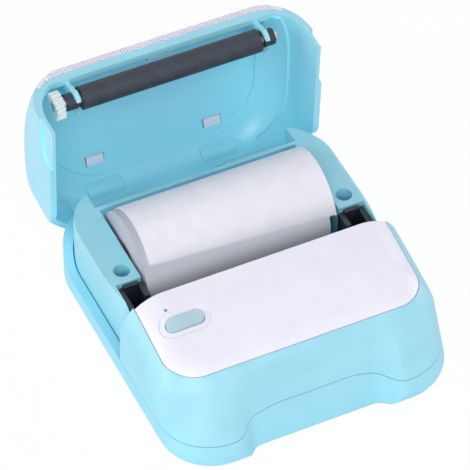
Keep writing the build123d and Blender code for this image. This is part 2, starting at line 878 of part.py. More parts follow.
platen_pair = pitch_radius(platen_teeth + idler_b_teeth) + mesh_gap
idler_pair = pitch_radius(idler_b_teeth + idler_a_teeth) + mesh_gap
motor_pair = pitch_radius(idler_a_teeth + pinion_teeth) + mesh_gap
idler_b_y = platen_y + platen_pair * cos(radians(idler_b_dir))
idler_b_z = platen_z + platen_pair * sin(radians(idler_b_dir))
span = hypot(motor_y - idler_b_y, motor_z - idler_b_z)
to_motor = degrees(atan2(motor_z - idler_b_z, motor_y - idler_b_y))
bend = degrees(acos((idler_pair**2 + span**2 - motor_pair**2) / (2 * idler_pair * span)))
idler_a_dir = to_motor + bend
idler_a_y = idler_b_y + idler_pair * cos(radians(idler_a_dir))
idler_a_z = idler_b_z + idler_pair * sin(radians(idler_a_dir))
pinion_dir = degrees(atan2(motor_z - idler_a_z, motor_y - idler_a_y))
idler_b_phase = idler_b_dir + 180
platen_phase = meshed_phase(idler_b_phase, idler_b_phase, idler_b_teeth, platen_teeth)
idler_a_phase = meshed_phase(idler_a_dir, idler_b_phase, idler_b_teeth, idler_a_teeth)
pinion_phase = meshed_phase(pinion_dir, idler_a_phase, idler_a_teeth, pinion_teeth)
axles = ((idler_b_y, idler_b_z), (idler_a_y, idler_a_z))

with BuildPart() as idler_gear_b:
    add(spur_gear(idler_b_y, idler_b_z, idler_b_teeth, idler_b_phase, axle_r + bore_fit))
idler_gear_b.part.location = row_place * idler_gear_b.part.location
idler_gear_b.part.label = "idler_gear_b"
export_step(idler_gear_b.part, "parts/idler_gear_b.step")

with BuildPart() as idler_gear_a:
    add(spur_gear(idler_a_y, idler_a_z, idler_a_teeth, idler_a_phase, axle_r + bore_fit))
idler_gear_a.part.location = row_place * idler_gear_a.part.location
idler_gear_a.part.label = "idler_gear_a"
export_step(idler_gear_a.part, "parts/idler_gear_a.step")

with BuildPart() as motor_pinion:
    add(spur_gear(motor_y, motor_z, pinion_teeth, pinion_phase, axle_r / 2))
    add(rod(gear_x0 - 0.3, plate_x1 + 3, motor_y, motor_z, axle_r))
motor_pinion.part.location = row_place * motor_pinion.part.location
motor_pinion.part.label = "motor_pinion"
export_step(motor_pinion.part, "parts/motor_pinion.step")

with BuildPart() as gear_plate:
    add(
        block(
            plate_x0, plate_x1, motor_y - motor_r - 1, filler_y - 0.2, floor_z + 1.7, frame_cheek_top_z - 5
        )
    )
    fillet(gear_plate.edges().filter_by(Axis.X), 1.5)
    for y, z in axles:
        add(rod(plate_x0 - 1, plate_x1 + 1, y, z, axle_r), mode=Mode.SUBTRACT)
    add(rod(plate_x0 - 1, plate_x1 + 1, motor_y, motor_z, axle_r + 0.6), mode=Mode.SUBTRACT)
gear_plate.part.location = row_place * gear_plate.part.location
gear_plate.part.label = "gear_plate"
export_step(gear_plate.part, "parts/gear_plate.step")

with BuildPart() as gear_axles:
    for y, z in axles:
        add(rod(gear_x0 - 0.1, plate_x1, y, z, axle_r))
        add(rod(gear_x0 - 0.5, gear_x0 - 0.1, y, z, axle_head_r))
        add(rod(rear_x + 0.1, plate_x0, y, z, axle_head_r))
gear_axles.part.location = row_place * gear_axles.part.location
gear_axles.part.label = "gear_axles"
export_step(gear_axles.part, "parts/gear_axles.step")

with BuildPart() as stepper_motor:
    add(rod(plate_x1, plate_x1 + motor_l, motor_y, motor_z, motor_r))
    fillet(stepper_motor.edges().group_by(Axis.X)[-1], 0.8)
    add(rod(plate_x1 - 1, plate_x1 + 4, motor_y, motor_z, axle_r + bore_fit), mode=Mode.SUBTRACT)
stepper_motor.part.location = row_place * stepper_motor.part.location
stepper_motor.part.label = "stepper_motor"
export_step(stepper_motor.part, "parts/stepper_motor.step")

# Paper roll on its core, and the free end of the paper lying over it
with BuildPart() as paper_core:
    add(rod(roll_x - paper_w / 2, roll_x + paper_w / 2, roll_y, roll_z, core_r))
    add(
        rod(roll_x - paper_w / 2 - 1, roll_x + paper_w / 2 + 1, roll_y, roll_z, core_r - core_wall),
        mode=Mode.SUBTRACT,
    )
paper_core.part.location = row_place * paper_core.part.location
paper_core.part.label = "paper_core"
export_step(paper_core.part, "parts/paper_core.step")

with BuildPart() as paper_roll:
    add(rod(roll_x - paper_w / 2, roll_x + paper_w / 2, roll_y, roll_z, roll_r))
    add(rod(roll_x - paper_w / 2 - 1, roll_x + paper_w / 2 + 1, roll_y, roll_z, core_r), mode=Mode.SUBTRACT)
paper_roll.part.location = row_place * paper_roll.part.location
paper_roll.part.label = "paper_roll"
export_step(paper_roll.part, "parts/paper_roll.step")


def on_roll(angle, height):
    """Point over the roll, in the YZ plane."""
    radius = roll_r + roll_fit + height
    return (roll_y + radius * cos(radians(angle)), roll_z + radius * sin(radians(angle)))


def torn_z(x):
    """Height of the torn edge, which runs askew over the roll."""
    share = (x - tail_x + paper_w / 2) / paper_w
    return on_roll(tail_end_left + share * (tail_end_right - tail_end_left), 0)[1]


with BuildPart() as paper_tail:
    with BuildSketch(Plane.YZ.offset(tail_x - paper_w / 2)):
        with BuildLine():
            top = (tail_start + tail_end_right) / 2
            low, high = on_roll(tail_end_right + 2, 0), on_roll(tail_end_right + 2, tail_t)
            ThreePointArc(on_roll(tail_start, 0), on_roll(top, 0), low)
            Line(low, high)
            ThreePointArc(high, on_roll(top, tail_t), on_roll(tail_start, tail_t))
            Line(on_roll(tail_start, tail_t), on_roll(tail_start, 0))
        make_face()
    extrude(amount=paper_w)
    with BuildSketch(Plane.XZ.offset(-roll_y)):
        with BuildLine():
            steps = round(paper_w / tear_pitch)
            torn = [(tail_x - paper_w, 0), (tail_x - paper_w, torn_z(tail_x - paper_w / 2))]
            for step in range(steps + 1):
                x = tail_x - paper_w / 2 + step * tear_pitch
                torn.append((x, torn_z(x)))
                torn.append((x + tear_pitch / 2, torn_z(x) + torn_depth * (0.6 + 0.4 * sin(2.1 * step))))
            torn.append((tail_x + paper_w, torn_z(tail_x + paper_w / 2)))
            torn.append((tail_x + paper_w, 0))
            Polyline(*torn, close=True)
        make_face()
    extrude(amount=2 * roll_r, mode=Mode.SUBTRACT)
paper_tail.part.location = row_place * paper_tail.part.location
paper_tail.part.label = "paper_tail"
export_step(paper_tail.part, "parts/paper_tail.step")

with BuildPart() as hinge_pin:
    add(rod(-pin_half, pin_half, hinge_y, hinge_z, pin_r))
    chamfer(hinge_pin.edges().filter_by(GeomType.CIRCLE), 0.25)
hinge_pin.part.location = row_place * hinge_pin.part.location
hinge_pin.part.label = "hinge_pin"
export_step(hinge_pin.part, "parts/hinge_pin.step")

# Cover frame, drawn closed and then swung open
tabs = (
    (rear_tab_x, rear_tab_y, rear_tab_w), (-rear_tab_x, rear_tab_y, rear_tab_w),
    (front_tab_x, front_tab_y, front_tab_w),
)
lip_y = cover_front_y + lip_t
tear_y = cover_front_y + tear_t
plate_outline = rounded_plan(plate_half, cover_front_y - 2, plate_rear_y, 0, plate_corner)
plate_hole = rounded_plan(plate_half + 0.1, cover_front_y - 2, plate_rear_y + 0.1, 0, plate_corner)
plate_under = lowered(cover_outer, plate_t)
rib_form = cover_form(cover_wall / 2, plate_t + cover_wall / 2, cover_front_y)
arm = (
    (platen_y - 2.6, platen_z + 3),
    (platen_y - 1.4, cover_front_top_z - 1),
    (roll_y - 4, cover_crown_z - 2),
    (roll_y - 9.5, cover_front_top_z + 1.5),
    (roll_y - 14.6, platen_z + 4.5),
    (platen_y + arm_r * 0.96, platen_z - 1),
    (platen_y, platen_z),
)
with BuildPart() as cover_frame:
    add(cover_outer)
    add(slope_below(rim_rise_from_y, rim_z, rim_rise_to_y, rim_rear_z), mode=Mode.SUBTRACT)
    add(
        cover_form(cover_wall, plate_t + cover_wall, cover_front_y - 0.9)
        - block(-body_half, body_half, 2 * paw_front_y, lip_y, cover_front_top_z - lip_depth, form_top_z + 9),
        mode=Mode.SUBTRACT,
    )
    add(
        (rib_form - cover_form(cover_wall + band_t, plate_t + cover_wall + band_t, cover_front_y))
        & (
            block(-band_half, band_half, roll_y, cover_rear_y, rear_ledge_z + 1, band_z)
            + block(-body_half, body_half, lip_y - 0.5, cover_rear_y, band_z, form_top_z + 9)
        )
        - prism(
            rounded_plan(crease_half, 2 * cover_front_y, crease_rear_y, 0, crease_corner), band_z, form_top_z + 9
        )
    )
    for side in (-1, 1):
        for inner, outer, radius in (
            (hinge_bay_half + 0.4, barrel_x, barrel_r),
            (barrel_x, barrel_end_x, barrel_end_r),
        ):
            x0, x1 = sorted((side * inner, side * outer))
            add(rod(x0, x1, barrel_y, barrel_z, radius) & rib_form)
        x0, x1 = sorted((side * arm_x0, side * arm_x1))
        add(plate_yz(arm, x0, x1) & rib_form)
        add(rod(x0, x1, platen_y, platen_z, arm_r))
        add(rod(x0 - 0.1, x1 + 0.1, platen_y, platen_z, bush_r), mode=Mode.SUBTRACT)
        mouth = 0.85 * bush_r
        add(
            block(x0 - 0.1, x1 + 0.1, platen_y - mouth, platen_y + mouth, platen_z - 2 * arm_r, platen_z),
            mode=Mode.SUBTRACT,
        )
        with BuildPart(mode=Mode.SUBTRACT):
            with BuildSketch(Plane.YZ.offset(side * (cover_half - grip_depth))):
                with BuildLine():
                    Spline(
                        (cover_front_y - 1, grip_top_z), (grip_end_y, rim_z - 1), tangents=[(1, 0), (0, -1)]
                    )
                    Polyline(
                        (grip_end_y, rim_z - 1), (cover_front_y - 1, rim_z - 1), (cover_front_y - 1, grip_top_z)
                    )
                make_face()
            extrude(amount=side * 3)
    add(block(-knuckle_half, knuckle_half, tongue_y, cover_rear_y - cover_wall, hinge_z, tongue_top_z))
    add(
        block(
            -knuckle_half, knuckle_half, tongue_y, cover_rear_y - cover_wall / 2, rim_rear_z + 0.3, tongue_top_z
        )
    )
    add(rod(-knuckle_half, knuckle_half, hinge_y, hinge_z, knuckle_r))
    add(rod(-knuckle_half - 1, knuckle_half + 1, hinge_y, hinge_z, pin_r + pin_fit), mode=Mode.SUBTRACT)
    add(prism(plate_hole, platen_z, cover_crown_z + 1) - plate_under, mode=Mode.SUBTRACT)
    add(
        block(-tear_half - 0.1, tear_half + 0.1, cover_front_y - 1, tear_y, platen_z, cover_crown_z)
        - lowered(cover_outer, plate_t + tear_depth),
        mode=Mode.SUBTRACT,
    )
    for x, y, tab_w in tabs:
        add(
            block(
                x - tab_w / 2 - slot_gap, x + tab_w / 2 + slot_gap, y - tab_l / 2 - slot_gap,
                y + tab_l / 2 + slot_gap, platen_z + 6, cover_crown_z,
            ),
            mode=Mode.SUBTRACT,
        )
cover_frame.part.location = open_place * cover_frame.part.location
cover_frame.part.label = "cover_frame"
export_step(cover_frame.part, "parts/cover_frame.step")

# Top plate with its snap tabs and the toothed bar that tears the paper
with BuildPart() as top_plate:
    add((cover_outer & prism(plate_outline, platen_z, cover_crown_z + 1)) - plate_under)
    add(
        (cover_outer & block(-tear_half, tear_half, cover_front_y, tear_y, platen_z, cover_crown_z))
        - lowered(cover_outer, plate_t + tear_depth)
    )
    with BuildPart(mode=Mode.PRIVATE) as teeth:
        with BuildSketch(Plane.XY.offset(platen_z)):
            with BuildLine():
                count = round(2 * tear_half / tear_pitch)
                zigzag = [(-tear_half, cover_front_y + 0.2)]
                for tooth in range(count):
                    zigzag.append((-tear_half + tooth * tear_pitch, cover_front_y - 0.02))
                    zigzag.append((-tear_half + (tooth + 0.5) * tear_pitch, cover_front_y - tooth_depth))
                zigzag.append((-tear_half + count * tear_pitch, cover_front_y - 0.02))
                zigzag.append((-tear_half + count * tear_pitch, cover_front_y + 0.2))
                Polyline(*zigzag, close=True)
            make_face()
        extrude(amount=form_top_z - platen_z)
        teeth_form = cover_form(0, 0.15, cover_front_y - 0.9)
        add(teeth_form, mode=Mode.INTERSECT)
        add(lowered(teeth_form, plate_t + tear_depth - 0.4), mode=Mode.SUBTRACT)
    add(teeth.part)
    for x, y, tab_w in tabs:
        add(
            (
                block(x - tab_w / 2, x + tab_w / 2, y - tab_l / 2, y + tab_l / 2, platen_z, cover_crown_z)
                & lowered(cover_outer, plate_t / 2)
            )
            - lowered(cover_outer, plate_t + cover_wall + tab_stand)
        )
top_plate.part.location = open_place * top_plate.part.location
top_plate.part.label = "top_plate"
export_step(top_plate.part, "parts/top_plate.step")

# Platen roller in its bushings
with BuildPart() as platen_bushings:
    for side in (-1, 1):
        x0, x1 = sorted((side * bush_x0, side * bush_x1))
        add(rod(x0, x1, platen_y, platen_z, bush_r))
    add(rod(-bush_x1 - 1, bush_x1 + 1, platen_y, platen_z, shaft_r + bush_fit), mode=Mode.SUBTRACT)
platen_bushings.part.location = open_place * platen_bushings.part.location
platen_bushings.part.label = "platen_bushings"
export_step(platen_bushings.part, "parts/platen_bushings.step")

with BuildPart() as platen_shaft:
    add(rod(gear_x0, shaft_end, platen_y, platen_z, shaft_r))
platen_shaft.part.location = open_place * platen_shaft.part.location
platen_shaft.part.label = "platen_shaft"
export_step(platen_shaft.part, "parts/platen_shaft.step")

with BuildPart() as platen_rubber:
    add(rod(-rubber_half, rubber_half, platen_y, platen_z, platen_r))
    add(rod(-rubber_half - 1, rubber_half + 1, platen_y, platen_z, shaft_r), mode=Mode.SUBTRACT)
platen_rubber.part.location = open_place * platen_rubber.part.location
platen_rubber.part.label = "platen_rubber"
export_step(platen_rubber.part, "parts/platen_rubber.step")

with BuildPart() as platen_gear:
    add(spur_gear(platen_y, platen_z, platen_teeth, platen_phase, shaft_r))
platen_gear.part.location = open_place * platen_gear.part.location
platen_gear.part.label = "platen_gear"
export_step(platen_gear.part, "parts/platen_gear.step")
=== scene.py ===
"""Looks of a portable thermal printer, cover open at rest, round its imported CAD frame.

Metres, front at -Y."""

import math

import bmesh
import bpy
from mathutils import Matrix, Vector


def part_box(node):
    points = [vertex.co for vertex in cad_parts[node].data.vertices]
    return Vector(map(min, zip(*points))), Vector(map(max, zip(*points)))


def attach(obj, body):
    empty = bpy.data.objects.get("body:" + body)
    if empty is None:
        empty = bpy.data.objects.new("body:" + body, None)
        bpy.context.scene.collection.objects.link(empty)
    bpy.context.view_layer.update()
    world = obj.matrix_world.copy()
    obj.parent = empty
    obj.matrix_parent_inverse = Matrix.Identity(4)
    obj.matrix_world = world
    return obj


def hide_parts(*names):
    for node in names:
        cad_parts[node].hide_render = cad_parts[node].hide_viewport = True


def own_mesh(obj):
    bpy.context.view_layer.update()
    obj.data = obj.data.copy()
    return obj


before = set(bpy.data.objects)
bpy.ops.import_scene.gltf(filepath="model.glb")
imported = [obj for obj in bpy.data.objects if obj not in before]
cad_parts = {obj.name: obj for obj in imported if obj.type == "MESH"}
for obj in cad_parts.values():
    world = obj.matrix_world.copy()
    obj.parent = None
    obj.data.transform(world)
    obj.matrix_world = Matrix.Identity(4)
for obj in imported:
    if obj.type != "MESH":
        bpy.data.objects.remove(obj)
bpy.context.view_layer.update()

MM = 0.001
# Inputs, and last the output, of a Mix node that is set to colours
FACTOR, COLOUR_A, COLOUR_B, MIXED = 0, 6, 7, 2
# Inputs, and last the output, of a Random Value node that is set to plain numbers
LEAST, MOST, DRAWN = 2, 3, 1
# Samples of the nodes that look round a point
OCCLUSION_SAMPLES = 6
EDGE_SAMPLES = 4


def srgb(code):
    """Linear colour of an sRGB hex code."""
    parts = [int(code[i : i + 2], 16) / 255 for i in (0, 2, 4)]
    return tuple(p / 12.92 if p <= 0.04045 else ((p + 0.055) / 1.055) ** 2.4 for p in parts) + (1.0,)


def add_node(tree, kind, inputs=(), **settings):
    """Adds a node with its settings and links.

    inputs pairs each socket, by name or by number, with a value, with an output of another node, or
    with a node, whose first output counts."""
    made = tree.nodes.new(kind)
    for key, value in settings.items():
        setattr(made, key, value)
    for socket, value in dict(inputs).items():
        if isinstance(value, bpy.types.Node):
            value = value.outputs[0]
        if isinstance(value, bpy.types.NodeSocket):
            tree.links.new(value, made.inputs[socket])
        else:
            made.inputs[socket].default_value = value
    return made


def add_object(name, data):
    """Adds an object to the scene."""
    made = bpy.data.objects.new(name, data)
    bpy.context.scene.collection.objects.link(made)
    return made


def start_material(name):
    """A node material that is still empty."""
    made = bpy.data.materials.new(name)
    made.use_nodes = True
    made.node_tree.nodes.clear()
    return made, made.node_tree


def paint_hollow_light(tree, colour, painted_hollow_light, reach_mm, shut, open_air):
    """Paints light into hollows: turns a colour towards a given tone there, as painted bounce light.

    The free view of a point, within reach_mm, runs from shut, all painted tone, to open_air, all
    colour."""
    openness = add_node(
        tree, "ShaderNodeAmbientOcclusion", {"Distance": reach_mm * MM}, samples=OCCLUSION_SAMPLES
    ).outputs["AO"]
    share = add_node(
        tree, "ShaderNodeMapRange", {"Value": openness, "From Min": shut, "From Max": open_air}
    )
    return add_node(
        tree, "ShaderNodeMix", {FACTOR: share, COLOUR_A: srgb(painted_hollow_light), COLOUR_B: colour}, data_type="RGBA"
    ).outputs[MIXED]


def moulded_plastic(
    name, dark, light, roughness, grain_mm, grain_depth_mm, edge_mm=0.2, coat=0.1, painted_hollow_light=None
):
    """Injection-moulded plastic: the mould's eroded grain, faint flow marks, uneven gloss, soft edges.

    Where a hollow tone is given, hollows are painted in that fuller tone: painted bounce light,
    standing in for the light that the plastic's own walls throw into them."""
    made, tree = start_material(name)
    where = add_node(tree, "ShaderNodeTexCoord").outputs["Object"]
    flow = add_node(tree, "ShaderNodeTexNoise", {"Vector": where, "Scale": 1 / (9 * MM), "Detail": 3.0})
    marks = add_node(tree, "ShaderNodeMapRange", {"Value": flow, "From Min": 0.35, "From Max": 0.65})
    colour = add_node(
        tree,
        "ShaderNodeMix",
        {FACTOR: marks, COLOUR_A: srgb(dark), COLOUR_B: srgb(light)},
        data_type="RGBA",
    ).outputs[MIXED]
    # Painted bounce light: hollows are painted a fuller, lighter tone
    if painted_hollow_light:
        colour = paint_hollow_light(tree, colour, painted_hollow_light, reach_mm=30, shut=0.5, open_air=0.92)
    gloss = add_node(
        tree,
        "ShaderNodeMapRange",
        {"Value": marks, "To Min": roughness - 0.04, "To Max": roughness + 0.05},
    )
    grain = add_node(
        tree, "ShaderNodeTexNoise", {"Vector": where, "Scale": 1 / (grain_mm * MM), "Detail": 2.0}
    )
    edge = add_node(tree, "ShaderNodeBevel", {"Radius": edge_mm * MM}, samples=EDGE_SAMPLES)
    normal = add_node(
        tree,
        "ShaderNodeBump",
        {"Height": grain, "Strength": 0.5, "Distance": grain_depth_mm * MM, "Normal": edge},
    )
    shader = add_node(
        tree,
        "ShaderNodeBsdfPrincipled",
        {
            "Base Color": colour, "Roughness": gloss, "Normal": normal, "IOR": 1.53,
            "Coat Weight": coat, "Coat Roughness": 0.12,
        },
    )
    add_node(tree, "ShaderNodeOutputMaterial", {"Surface": shader})
    return made


def worked_metal(name, dark, light, roughness, along, line_mm=0.12, line_depth_mm=0.004):
    """Rolled, plated or turned metal: fine lines along one way, and a cloudy gloss from handling."""
    made, tree = start_material(name)
    where = add_node(tree, "ShaderNodeTexCoord").outputs["Object"]
    stretch = tuple(0.06 if axis == along else 1.0 for axis in "XYZ")
    pulled = add_node(tree, "ShaderNodeMapping", {"Vector": where, "Scale": stretch})
    lines = add_node(
        tree, "ShaderNodeTexNoise", {"Vector": pulled, "Scale": 1 / (line_mm * MM), "Detail": 3.0}
    )
    tone = add_node(tree, "ShaderNodeMapRange", {"Value": lines, "From Min": 0.3, "From Max": 0.7})
    colour = add_node(
        tree,
        "ShaderNodeMix",
        {FACTOR: tone, COLOUR_A: srgb(dark), COLOUR_B: srgb(light)},
        data_type="RGBA",
    ).outputs[MIXED]
    cloud = add_node(tree, "ShaderNodeTexNoise", {"Vector": where, "Scale": 1 / (4 * MM)})
    gloss = add_node(
        tree,
        "ShaderNodeMapRange",
        {
            "Value": cloud,
            "From Min": 0.3,
            "From Max": 0.7,
            "To Min": roughness - 0.07,
            "To Max": roughness + 0.08,
        },
    )
    edge = add_node(tree, "ShaderNodeBevel", {"Radius": 0.08 * MM}, samples=EDGE_SAMPLES)
    normal = add_node(
        tree,
        "ShaderNodeBump",
        {"Height": lines, "Strength": 0.4, "Distance": line_depth_mm * MM, "Normal": edge},
    )
    shader = add_node(
        tree,
        "ShaderNodeBsdfPrincipled",
        {"Base Color": colour, "Metallic": 1.0, "Roughness": gloss, "Normal": normal},
    )
    add_node(tree, "ShaderNodeOutputMaterial", {"Surface": shader})
    return made


def pressed_fibre(name, dark, light, roughness, fibre_mm, cockle_mm, painted_hollow_light=None):
    """Paper or card: short fibres in tone and relief, a slow cockle, a little sheen.

    Where a hollow tone is given, hollows are painted in that paler tone: painted light, standing in for
    the light that comes through thin paper into them."""
    made, tree = start_material(name)
    where = add_node(tree, "ShaderNodeTexCoord").outputs["Object"]
    pulled = add_node(tree, "ShaderNodeMapping", {"Vector": where, "Scale": (0.35, 1, 1)})
    fibres = add_node(
        tree,
        "ShaderNodeTexNoise",
        {"Vector": pulled, "Scale": 1 / (fibre_mm * MM), "Detail": 4.0, "Roughness": 0.65},
    )
    pulp = add_node(tree, "ShaderNodeTexNoise", {"Vector": where, "Scale": 1 / (5 * MM), "Detail": 4.0})
    tone = add_node(tree, "ShaderNodeMapRange", {"Value": pulp, "From Min": 0.35, "From Max": 0.65})
    colour = add_node(
        tree,
        "ShaderNodeMix",
        {FACTOR: tone, COLOUR_A: srgb(dark), COLOUR_B: srgb(light)},
        data_type="RGBA",
    ).outputs[MIXED]
    # Painted light: hollows are painted paler
    if painted_hollow_light:
        colour = paint_hollow_light(tree, colour, painted_hollow_light, reach_mm=20, shut=0.45, open_air=0.8)
    gloss = add_node(
        tree,
        "ShaderNodeMapRange",
        {
            "Value": fibres,
            "From Min": 0.3,
            "From Max": 0.7,
            "To Min": roughness - 0.05,
            "To Max": roughness + 0.05,
        },
    )
    cockle = add_node(tree, "ShaderNodeTexNoise", {"Vector": where, "Scale": 1 / (14 * MM)})
    slow = add_node(
        tree, "ShaderNodeBump", {"Height": cockle, "Strength": 0.35, "Distance": cockle_mm * MM}
    )
    normal = add_node(
        tree,
        "ShaderNodeBump",
        {"Height": fibres, "Strength": 0.35, "Distance": 0.006 * MM, "Normal": slow},
    )
    shader = add_node(
        tree,
        "ShaderNodeBsdfPrincipled",
        {"Base Color": colour, "Roughness": gloss, "Normal": normal, "Sheen Weight": 0.08},
    )
    add_node(tree, "ShaderNodeOutputMaterial", {"Surface": shader})
    return made


def ground_silicone():
    """Platen rubber, ground to size: near black, with rings from the wheel, dust and a chalky bloom."""
    made, tree = start_material("ground_silicone")
    where = add_node(tree, "ShaderNodeTexCoord").outputs["Object"]
    round_axis = add_node(tree, "ShaderNodeMapping", {"Vector": where, "Scale": (1, 0.05, 0.05)})
    # Real grinding marks are near 0.03 mm apart; 0.09 mm is the finest that shows
    rings = add_node(
        tree, "ShaderNodeTexNoise", {"Vector": round_axis, "Scale": 1 / (0.09 * MM), "Detail": 3.0}
    )
    bloom = add_node(
        tree, "ShaderNodeTexNoise", {"Vector": where, "Scale": 1 / (3.5 * MM), "Detail": 4.0}
    )
    tone = add_node(tree, "ShaderNodeMapRange", {"Value": bloom, "From Min": 0.35, "From Max": 0.7})
    colour = add_node(
        tree,
        "ShaderNodeMix",
        {FACTOR: tone, COLOUR_A: srgb("222935"), COLOUR_B: srgb("303745")},
        data_type="RGBA",
    ).outputs[MIXED]
    dust = add_node(tree, "ShaderNodeTexVoronoi", {"Vector": where, "Scale": 1 / (1.3 * MM)})
    speck = add_node(
        tree,
        "ShaderNodeMapRange",
        {
            "Value": dust.outputs["Distance"],
            "From Min": 0.05,
            "From Max": 0.09,
            "To Min": 0.5,
            "To Max": 0.0,
        },
    )
    dusty = add_node(
        tree,
        "ShaderNodeMix",
        {FACTOR: speck, COLOUR_A: colour, COLOUR_B: srgb("8A93A3")},
        data_type="RGBA",
    ).outputs[MIXED]
    gloss = add_node(tree, "ShaderNodeMapRange", {"Value": tone, "To Min": 0.5, "To Max": 0.66})
    normal = add_node(
        tree, "ShaderNodeBump", {"Height": rings, "Strength": 0.5, "Distance": 0.008 * MM}
    )
    shader = add_node(
        tree,
        "ShaderNodeBsdfPrincipled",
        {
            "Base Color": dusty,
            "Roughness": gloss,
            "Normal": normal,
            "Sheen Weight": 0.04,
            "Sheen Roughness": 0.4,
        },
    )
    add_node(tree, "ShaderNodeOutputMaterial", {"Surface": shader})
    return made


def solder_mask():
    """FR4 board under green solder mask: copper tracks in square steps, lighter and raised."""
    made, tree = start_material("solder_mask")
    where = add_node(tree, "ShaderNodeTexCoord").outputs["Object"]
    cells = add_node(
        tree, "ShaderNodeTexVoronoi", {"Vector": where, "Scale": 1 / (1.6 * MM)}, distance="CHEBYCHEV"
    )
    tracks = add_node(
        tree,
        "ShaderNodeMapRange",
        {"Value": cells.outputs["Distance"], "From Min": 0.3, "From Max": 0.34},
    )
    colour = add_node(
        tree,
        "ShaderNodeMix",
        {FACTOR: tracks, COLOUR_A: srgb("0F4A2E"), COLOUR_B: srgb("176440")},
        data_type="RGBA",
    ).outputs[MIXED]
    gloss = add_node(tree, "ShaderNodeMapRange", {"Value": tracks, "To Min": 0.28, "To Max": 0.36})
    normal = add_node(
        tree, "ShaderNodeBump", {"Height": tracks, "Strength": 0.5, "Distance": 0.03 * MM}
    )
    shader = add_node(
        tree, "ShaderNodeBsdfPrincipled", {"Base Color": colour, "Roughness": gloss, "Normal": normal}
    )
    add_node(tree, "ShaderNodeOutputMaterial", {"Surface": shader})
    return made


def clear_light_pipe():
    """Clear moulded polycarbonate with a faintly milky core, so the lamp shows as a soft grey dot."""
    made, tree = start_material("clear_light_pipe")
    where = add_node(tree, "ShaderNodeTexCoord").outputs["Object"]
    milk = add_node(tree, "ShaderNodeTexNoise", {"Vector": where, "Scale": 1 / (0.8 * MM)})
    colour = add_node(
        tree,
        "ShaderNodeMix",
        {FACTOR: milk, COLOUR_A: srgb("B9C3CB"), COLOUR_B: srgb("E3EBF0")},
        data_type="RGBA",
    ).outputs[MIXED]
    gloss = add_node(
        tree,
        "ShaderNodeMapRange",
        {"Value": milk, "From Min": 0.3, "From Max": 0.7, "To Min": 0.12, "To Max": 0.25},
    )
    shader = add_node(
        tree,
        "ShaderNodeBsdfPrincipled",
        {"Base Color": colour, "Roughness": gloss, "Transmission Weight": 0.6, "IOR": 1.58},
    )
    add_node(tree, "ShaderNodeOutputMaterial", {"Surface": shader})
    return made


def wound_edges(middle):
    """Cut side of the roll: turns of paper as fine rings, some darker for the air between them."""
    made, tree = start_material("wound_edges")
    where = add_node(tree, "ShaderNodeTexCoord").outputs["Object"]
    centred = add_node(tree, "ShaderNodeVectorMath", {0: where, 1: middle}, operation="SUBTRACT")
    flat = add_node(tree, "ShaderNodeVectorMath", {0: centred, 1: (0, 1, 1)}, operation="MULTIPLY")
    radius = add_node(tree, "ShaderNodeVectorMath", {0: flat}, operation="LENGTH").outputs["Value"]
    # Real turns are 0.06 mm apart; 0.32 mm is the finest that shows
    turns = add_node(
        tree, "ShaderNodeMath", {0: radius, 1: 2 * math.pi / (0.32 * MM)}, operation="MULTIPLY"
    )
    wave = add_node(tree, "ShaderNodeMath", {0: turns}, operation="SINE")
    uneven = add_node(
        tree, "ShaderNodeTexNoise", {"Vector": flat, "Scale": 1 / (1.1 * MM), "Detail": 3.0}
    )
    mixed = add_node(tree, "ShaderNodeMath", {0: wave, 1: uneven}, operation="MULTIPLY")
    tone = add_node(tree, "ShaderNodeMapRange", {"Value": mixed, "From Min": -0.6, "From Max": 0.6})
    colour = add_node(
        tree,
        "ShaderNodeMix",
        {FACTOR: tone, COLOUR_A: srgb("A9ACB8"), COLOUR_B: srgb("C3C6D1")},
        data_type="RGBA",
    ).outputs[MIXED]
    normal = add_node(tree, "ShaderNodeBump", {"Height": tone, "Strength": 0.5, "Distance": 0.05 * MM})
    shader = add_node(
        tree, "ShaderNodeBsdfPrincipled", {"Base Color": colour, "Roughness": 0.75, "Normal": normal}
    )
    add_node(tree, "ShaderNodeOutputMaterial", {"Surface": shader})
    return made


# ABS of the housing, moulded in a finely eroded mould: satin sky blue, its hollows painted a fuller
# blue as painted bounce light
housing_abs = moulded_plastic(
    "housing_abs", "98D2E4", "9ED8E9", roughness=0.4, grain_mm=0.18, grain_depth_mm=0.004, painted_hollow_light="93DBEE"
)
# ABS of the cover, from a smoother mould, so it shines a little more; its inside is also painted
# lighter, as painted bounce light in its hollows
cover_abs = moulded_plastic(
    "cover_abs", "9CD8EB", "A2DDEE", roughness=0.36, grain_mm=0.22, grain_depth_mm=0.003,
    coat=0.12, painted_hollow_light="A2ECFB"
)
# White ABS of the front panel and the top plate: satin, faintly lilac
white_abs = moulded_plastic(
    "white_abs", "E8E6F3", "ECE9F5", roughness=0.38, grain_mm=0.2, grain_depth_mm=0.003
)
# Tinted polycarbonate of the button, polished: a grey-blue pill with a crisp reflection
tinted_polycarbonate = moulded_plastic(
    "tinted_polycarbonate", "A3C6D2", "AFCFDA", roughness=0.22, grain_mm=0.3,
    grain_depth_mm=0.002, coat=0.4
)
# Glass-filled nylon of the mechanism's frame and bushings: near black, matt, coarse from the glass
glass_filled_nylon = moulded_plastic(
    "glass_filled_nylon", "18212D", "26303E", roughness=0.5, grain_mm=0.15, grain_depth_mm=0.01,
    edge_mm=0.15, coat=0.05
)
# Natural acetal of the gears: waxy white, edges almost sharp
natural_acetal = moulded_plastic(
    "natural_acetal", "DDE3E6", "EBEFF0", roughness=0.34, grain_mm=0.3, grain_depth_mm=0.002,
    edge_mm=0.08
)
# Black liquid-crystal polymer of the sensor and the push switch: dull, with flow lines
black_polymer = moulded_plastic(
    "black_polymer", "101114", "1D1E22", roughness=0.45, grain_mm=0.1, grain_depth_mm=0.004,
    edge_mm=0.08, coat=0.0
)
